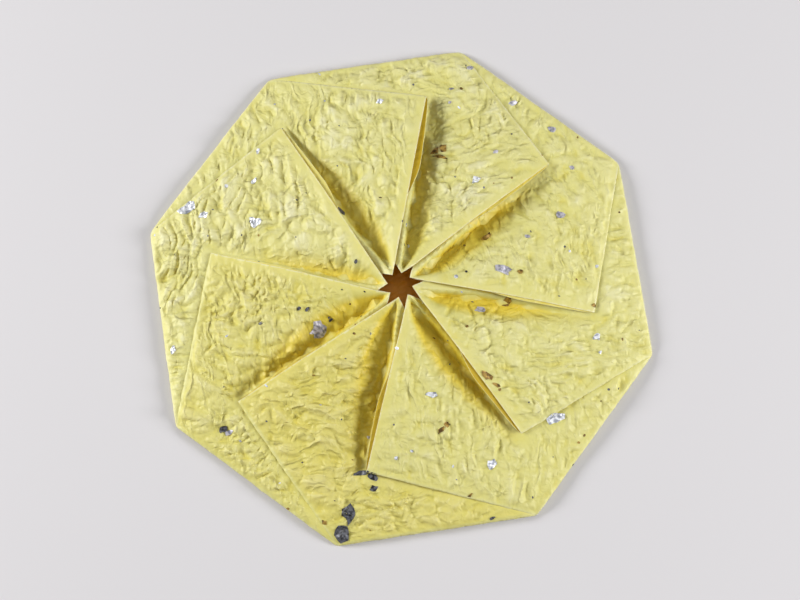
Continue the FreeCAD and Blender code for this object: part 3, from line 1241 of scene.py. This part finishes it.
# %% The scattering tree
step = partial(add, specks)
points = step(
    "GeometryNodeDistributePointsOnFaces",
    Mesh=given["Paper"],
    Density=given["Density"],
    Seed=given["Seed"],
    Selection=step("GeometryNodeInputNamedAttribute", Name="outside").outputs["Attribute"],
)
chip = step("GeometryNodeMeshCylinder", Vertices=6, Radius=0.5, Depth=1.0)
index = step("GeometryNodeInputIndex").outputs["Index"]
spin = step("FunctionNodeRandomValue", {"data_type": "FLOAT"}, Max=math.tau, ID=index)
about = step("FunctionNodeAxisAngleToRotation", Axis=(0, 0, 1), Angle=spin.outputs["Value"])
lying = step(
    "FunctionNodeRotateRotation",
    {"rotation_space": "LOCAL"},
    Rotation=points.outputs["Rotation"],
    Rotate_By=about.outputs[0],
)
limits = {"Min": given["Smallest"], "Max": given["Largest"]}
length, width = (step("FunctionNodeRandomValue", Seed=seed, **limits).outputs["Value"] for seed in (1, 2))
scale = step("ShaderNodeCombineXYZ", X=length, Y=width, Z=given["Thickness"])
placed = step(
    "GeometryNodeInstanceOnPoints",
    Points=points.outputs["Points"],
    Instance=chip.outputs["Mesh"],
    Rotation=lying.outputs["Rotation"],
    Scale=scale.outputs["Vector"],
)
real = step("GeometryNodeRealizeInstances", Geometry=placed.outputs["Instances"])
coated = step("GeometryNodeSetMaterial", Geometry=real.outputs["Geometry"], Material=given["Finish"])
step("NodeGroupOutput", Specks=coated.outputs["Geometry"])
print("tree nodes:", len(specks.nodes))

# %% Scatter each kind
THIN = 0.00012


def scatter(name, **values):
    """The specks of one kind as a plain mesh of their own."""
    carrier = put_in_scene("carrier", mesh)
    modifier = carrier.modifiers.new("specks", "NODES")
    modifier.node_group = specks
    for socket in specks.interface.items_tree:
        if socket.in_out == "INPUT" and socket.name in values:
            modifier[socket.identifier] = values[socket.name]
    ready = carrier.evaluated_get(bpy.context.evaluated_depsgraph_get())
    made = bpy.data.meshes.new_from_object(ready)
    made.name = name
    bpy.data.objects.remove(carrier)
    print(name, "faces:", len(made.polygons))
    return put_in_scene(name, made)


dark_values = {"Density": 5200.0, "Smallest": 0.00025, "Largest": 0.0007, "Seed": 3, "Finish": bark}
silver_values = {"Density": 1800.0, "Smallest": 0.0004, "Largest": 0.0011, "Seed": 5, "Finish": silver}
copper_values = {"Density": 2200.0, "Smallest": 0.0003, "Largest": 0.0010, "Seed": 8, "Finish": copper}
flecks += [
    scatter("dark_specks", Thickness=THIN, **dark_values),
    scatter("silver_specks", Thickness=THIN, **silver_values),
    scatter("copper_specks", Thickness=THIN, **copper_values),
]

# %% [markdown]
# ## One sheet on one body
# Nothing on the case moves, so every piece rides on its one body. The sheet was folded from an octagon 210 mm
# across.

# %% Every piece on the one body
for piece in flecks:
    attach(piece, "root")
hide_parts("folded_sheet")
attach(paper_sheet, "root")

# %% [markdown]
# ## Floor, light and camera
# The case lies on a plain pale table under soft studio light, and the camera looks down on it from a little
# to the front, as someone sitting at the table would. Its place is given in radii of the case.

# %% Floor
TABLE = 3
square = [(-TABLE, -TABLE, 0), (TABLE, -TABLE, 0), (TABLE, TABLE, 0), (-TABLE, TABLE, 0)]
floor_mesh = bpy.data.meshes.new("table_top")
floor_mesh.from_pydata(square, [], [(0, 1, 2, 3)])
table_top = put_in_scene("table_top", floor_mesh)
pale, tree, output, shader = new_material("pale_table")
wire(tree, shader, Base_Color=(0.63, 0.615, 0.63, 1), Roughness=0.8)
wire(tree, output, Surface=shader.outputs["BSDF"])
floor_mesh.materials.append(pale)
print("table, m:", 2 * TABLE, "across")

# %% Light
world = bpy.data.worlds.new("studio")
world.use_nodes = True
wire(world.node_tree, world.node_tree.nodes["Background"], Color=(1.0, 0.99, 0.98, 1), Strength=0.2)
bpy.context.scene.world = world


def soft_lamp(name, place, size, power):
    """A round soft lamp that faces the middle of the case."""
    data = bpy.data.lights.new(name, "AREA")
    data.shape = "DISK"
    data.size = size
    data.energy = power
    lamp = put_in_scene(name, data)
    lamp.location = place
    lamp.rotation_mode = "QUATERNION"
    lamp.rotation_quaternion = Vector(place).to_track_quat("Z", "Y")
    print(name, "at, m:", [round(value, 2) for value in place])


soft_lamp("key_lamp", (0.70, -0.20, 0.36), 0.34, 6.0)
soft_lamp("fill_lamp", (-0.69, 0.20, 0.33), 0.28, 6.2)
soft_lamp("top_lamp", (0.05, 0.0, 0.9), 0.5, 1.15)

# %% Camera
RADII_UP = 7.63
RADII_BACK = 1.41
roll = math.radians(-8.65)
tilt = math.radians(10.3)
right = Vector((math.cos(roll), math.sin(roll), 0))
ahead = Vector((-right.y, right.x, 0))
look = ahead * math.sin(tilt) - Vector((0, 0, 1)) * math.cos(tilt)
camera_up = right.cross(look)
camera_data = bpy.data.cameras.new("camera")
camera_data.lens = 90
camera_data.sensor_width = 36
camera_data.clip_start = 0.01
camera = put_in_scene("camera", camera_data)
reach = corner_reach * MM
spot = ahead * (-RADII_BACK * reach) + Vector((0, 0, RADII_UP * reach))
turn = Matrix((right, camera_up, -look)).transposed()
camera.matrix_world = Matrix.Translation(spot) @ turn.to_4x4()
bpy.context.scene.camera = camera
bpy.context.scene.view_settings.view_transform = "Standard"
print("camera, m:", [round(value, 3) for value in spot])
